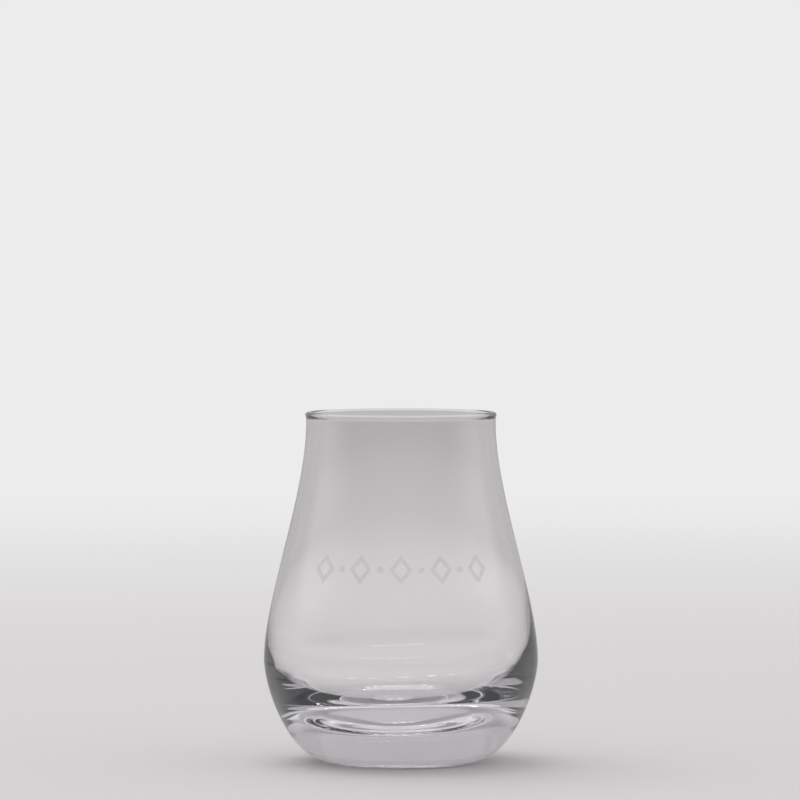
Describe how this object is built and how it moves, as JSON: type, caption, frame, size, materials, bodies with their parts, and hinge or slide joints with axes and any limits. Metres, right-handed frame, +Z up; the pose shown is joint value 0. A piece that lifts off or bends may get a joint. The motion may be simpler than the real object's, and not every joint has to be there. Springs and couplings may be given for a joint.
{
  "type": "tumbler",
  "caption": "Tulip-shaped tasting tumbler of clear glass with a rolled rim, a full belly, a heavy rounded base and a satin lozenge border on its front; holds a drink.",
  "frame": {"origin": "centre of the standing ring, on the surface that the glass stands on", "axes": "+Z up along the axis that the glass is turned on; the satin border faces -Y"},
  "size_m": [0.0674, 0.0674, 0.086],
  "materials": {
    "clear_glass": "clear, fire-polished",
    "satin_frit": "satin"
  },
  "bodies": {
    "root": {"glass_body": "clear_glass", "satin_lozenge_1": "satin_frit", "satin_lozenge_2": "satin_frit", "satin_lozenge_3": "satin_frit", "satin_lozenge_4": "satin_frit", "satin_lozenge_5": "satin_frit", "satin_bead_1": "satin_frit", "satin_bead_2": "satin_frit", "satin_bead_3": "satin_frit", "satin_bead_4": "satin_frit"}
  },
  "joints": []
}
